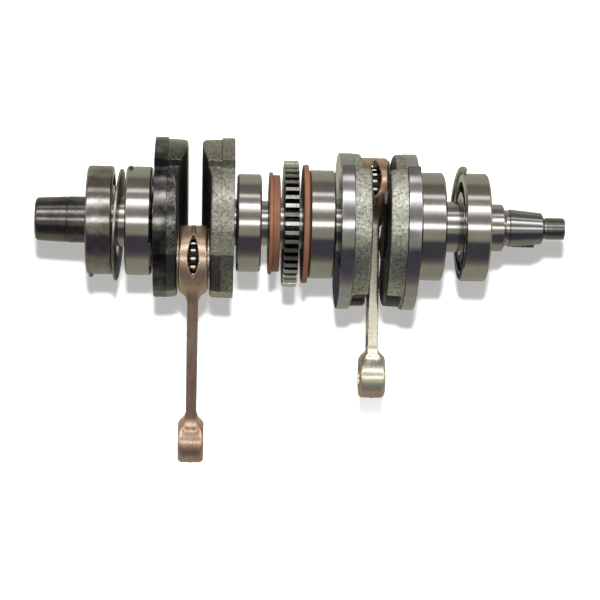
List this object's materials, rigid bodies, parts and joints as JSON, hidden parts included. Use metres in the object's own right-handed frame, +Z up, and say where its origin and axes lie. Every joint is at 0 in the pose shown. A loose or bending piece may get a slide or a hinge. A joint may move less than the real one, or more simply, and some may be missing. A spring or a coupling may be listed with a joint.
{
  "type": "two-cylinder engine crankshaft",
  "caption": "Pressed-up two-stroke crankshaft with ball main bearings, a central drive gear with seal rings, opposed throws and two plated connecting rods.",
  "frame": {"origin": "on the crank axis, between the two connecting rods, 60.6 mm from the middle of the left one", "axes": "+X along the crank axis towards the tapered magneto end, +Z up, +Y away from the viewer; the rods hang towards -Z"},
  "size_m": [0.3522, 0.1118, 0.2176],
  "materials": {
    "forged_steel": "dark forged steel with turned bands, lightly oiled",
    "turned_steel": "fine turned and ground",
    "bearing_steel": "ground, near-mirror",
    "gear_steel": "hobbed teeth, dark sides",
    "ring_steel": "spring steel, lightly blued",
    "coppered_rod": "forged steel with a thin copper plating",
    "needle_cage": "ground needles in a bronzed cage",
    "thrust_washer": "plain bronze",
    "orange_seal": "terracotta silicone rubber, satin"
  },
  "bodies": {
    "crank": {"pto_half_shaft": "forged_steel", "left_crankpin": "turned_steel", "center_half_shaft": "forged_steel", "center_web": "forged_steel", "right_crankpin": "turned_steel", "mag_half_shaft": "forged_steel", "drive_gear": "gear_steel", "woodruff_key": "turned_steel", "pto_outer_inner_race": "bearing_steel", "pto_inner_inner_race": "bearing_steel", "center_small_inner_race": "bearing_steel", "center_large_inner_race": "bearing_steel", "mag_inner_inner_race": "bearing_steel", "mag_outer_inner_race": "bearing_steel"},
    "pto_outer_race": {"pto_outer_outer_race": "bearing_steel", "pto_outer_locating_pin": "turned_steel"},
    "pto_outer_balls": {"pto_outer_ball_set": "bearing_steel"},
    "pto_inner_race": {"pto_inner_outer_race": "bearing_steel", "pto_inner_locating_pin": "turned_steel"},
    "pto_inner_balls": {"pto_inner_ball_set": "bearing_steel"},
    "center_small_race": {"center_small_outer_race": "bearing_steel"},
    "center_small_balls": {"center_small_ball_set": "bearing_steel"},
    "center_large_race": {"center_large_outer_race": "bearing_steel"},
    "center_large_balls": {"center_large_ball_set": "bearing_steel"},
    "mag_inner_race": {"mag_inner_outer_race": "bearing_steel"},
    "mag_inner_balls": {"mag_inner_ball_set": "bearing_steel"},
    "mag_outer_race": {"mag_outer_outer_race": "bearing_steel"},
    "mag_outer_balls": {"mag_outer_ball_set": "bearing_steel"},
    "left_rod": {"left_connecting_rod": "coppered_rod"},
    "left_needles": {"left_big_end_needles": "needle_cage"},
    "left_washer_a": {"left_thrust_washer_a": "thrust_washer"},
    "left_washer_b": {"left_thrust_washer_b": "thrust_washer"},
    "right_rod": {"right_connecting_rod": "coppered_rod"},
    "right_needles": {"right_big_end_needles": "needle_cage"},
    "right_washer_a": {"right_thrust_washer_a": "thrust_washer"},
    "right_washer_b": {"right_thrust_washer_b": "thrust_washer"},
    "left_seal": {"left_center_seal": "orange_seal"},
    "right_seal": {"right_center_seal": "orange_seal"},
    "loose_ring": {"loose_retaining_ring": "ring_steel"},
    "half_ring": {"half_retaining_ring": "ring_steel"}
  },
  "joints": [
    {"name": "pto_outer_bearing_turn", "type": "hinge", "parent": "crank", "child": "pto_outer_race", "pos_m": [-0.1226, 0, 0], "axis": [1, 0, 0], "continuous": true},
    {"name": "pto_outer_balls_turn", "type": "hinge", "parent": "crank", "child": "pto_outer_balls", "pos_m": [-0.1226, 0, 0], "axis": [1, 0, 0], "continuous": true},
    {"name": "pto_inner_bearing_turn", "type": "hinge", "parent": "crank", "child": "pto_inner_race", "pos_m": [-0.0971, 0, 0], "axis": [1, 0, 0], "continuous": true},
    {"name": "pto_inner_balls_turn", "type": "hinge", "parent": "crank", "child": "pto_inner_balls", "pos_m": [-0.0971, 0, 0], "axis": [1, 0, 0], "continuous": true},
    {"name": "center_small_bearing_turn", "type": "hinge", "parent": "crank", "child": "center_small_race", "pos_m": [-0.0245, 0, 0], "axis": [1, 0, 0], "continuous": true},
    {"name": "center_small_balls_turn", "type": "hinge", "parent": "crank", "child": "center_small_balls", "pos_m": [-0.0245, 0, 0], "axis": [1, 0, 0], "continuous": true},
    {"name": "center_large_bearing_turn", "type": "hinge", "parent": "crank", "child": "center_large_race", "pos_m": [0.0235, 0, 0], "axis": [1, 0, 0], "continuous": true},
    {"name": "center_large_balls_turn", "type": "hinge", "parent": "crank", "child": "center_large_balls", "pos_m": [0.0235, 0, 0], "axis": [1, 0, 0], "continuous": true},
    {"name": "mag_inner_bearing_turn", "type": "hinge", "parent": "crank", "child": "mag_inner_race", "pos_m": [0.0959, 0, 0], "axis": [1, 0, 0], "continuous": true},
    {"name": "mag_inner_balls_turn", "type": "hinge", "parent": "crank", "child": "mag_inner_balls", "pos_m": [0.0959, 0, 0], "axis": [1, 0, 0], "continuous": true},
    {"name": "mag_outer_bearing_turn", "type": "hinge", "parent": "crank", "child": "mag_outer_race", "pos_m": [0.1253, 0, 0], "axis": [1, 0, 0], "continuous": true},
    {"name": "mag_outer_balls_turn", "type": "hinge", "parent": "crank", "child": "mag_outer_balls", "pos_m": [0.1253, 0, 0], "axis": [1, 0, 0], "continuous": true},
    {"name": "left_rod_swing", "type": "hinge", "parent": "crank", "child": "left_rod", "pos_m": [-0.0606, -0.02404, -0.02404], "axis": [1, 0, 0], "continuous": true},
    {"name": "left_needles_turn", "type": "hinge", "parent": "crank", "child": "left_needles", "pos_m": [-0.0606, -0.02404, -0.02404], "axis": [1, 0, 0], "continuous": true},
    {"name": "left_washer_a_turn", "type": "hinge", "parent": "crank", "child": "left_washer_a", "pos_m": [-0.0606, -0.02404, -0.02404], "axis": [1, 0, 0], "continuous": true},
    {"name": "left_washer_b_turn", "type": "hinge", "parent": "crank", "child": "left_washer_b", "pos_m": [-0.0606, -0.02404, -0.02404], "axis": [1, 0, 0], "continuous": true},
    {"name": "right_rod_swing", "type": "hinge", "parent": "crank", "child": "right_rod", "pos_m": [0.0601, 0.02404, 0.02404], "axis": [1, 0, 0], "continuous": true},
    {"name": "right_needles_turn", "type": "hinge", "parent": "crank", "child": "right_needles", "pos_m": [0.0601, 0.02404, 0.02404], "axis": [1, 0, 0], "continuous": true},
    {"name": "right_washer_a_turn", "type": "hinge", "parent": "crank", "child": "right_washer_a", "pos_m": [0.0601, 0.02404, 0.02404], "axis": [1, 0, 0], "continuous": true},
    {"name": "right_washer_b_turn", "type": "hinge", "parent": "crank", "child": "right_washer_b", "pos_m": [0.0601, 0.02404, 0.02404], "axis": [1, 0, 0], "continuous": true},
    {"name": "left_seal_turn", "type": "hinge", "parent": "crank", "child": "left_seal", "pos_m": [-0.0078, 0, 0], "axis": [1, 0, 0], "continuous": true},
    {"name": "right_seal_turn", "type": "hinge", "parent": "crank", "child": "right_seal", "pos_m": [0.0128, 0, 0], "axis": [1, 0, 0], "continuous": true},
    {"name": "loose_ring_turn", "type": "hinge", "parent": "crank", "child": "loose_ring", "pos_m": [-0.1106, 0, 0], "axis": [1, 0, 0], "continuous": true},
    {"name": "half_ring_turn", "type": "hinge", "parent": "mag_outer_race", "child": "half_ring", "pos_m": [0.1179, 0, 0], "axis": [1, 0, 0], "continuous": true}
  ],
  "couplings": [
    {"joint": "pto_outer_balls_turn", "follows": "pto_outer_bearing_turn", "ratio": 0.6037},
    {"joint": "pto_inner_balls_turn", "follows": "pto_inner_bearing_turn", "ratio": 0.6037},
    {"joint": "center_small_balls_turn", "follows": "center_small_bearing_turn", "ratio": 0.5998},
    {"joint": "center_large_balls_turn", "follows": "center_large_bearing_turn", "ratio": 0.6037},
    {"joint": "mag_inner_balls_turn", "follows": "mag_inner_bearing_turn", "ratio": 0.6037},
    {"joint": "mag_outer_balls_turn", "follows": "mag_outer_bearing_turn", "ratio": 0.6037},
    {"joint": "left_needles_turn", "follows": "left_rod_swing", "ratio": 0.5576},
    {"joint": "left_washer_a_turn", "follows": "left_rod_swing", "ratio": 0.5},
    {"joint": "left_washer_b_turn", "follows": "left_rod_swing", "ratio": 0.5},
    {"joint": "right_needles_turn", "follows": "right_rod_swing", "ratio": 0.5576},
    {"joint": "right_washer_a_turn", "follows": "right_rod_swing", "ratio": 0.5},
    {"joint": "right_washer_b_turn", "follows": "right_rod_swing", "ratio": 0.5}
  ]
}
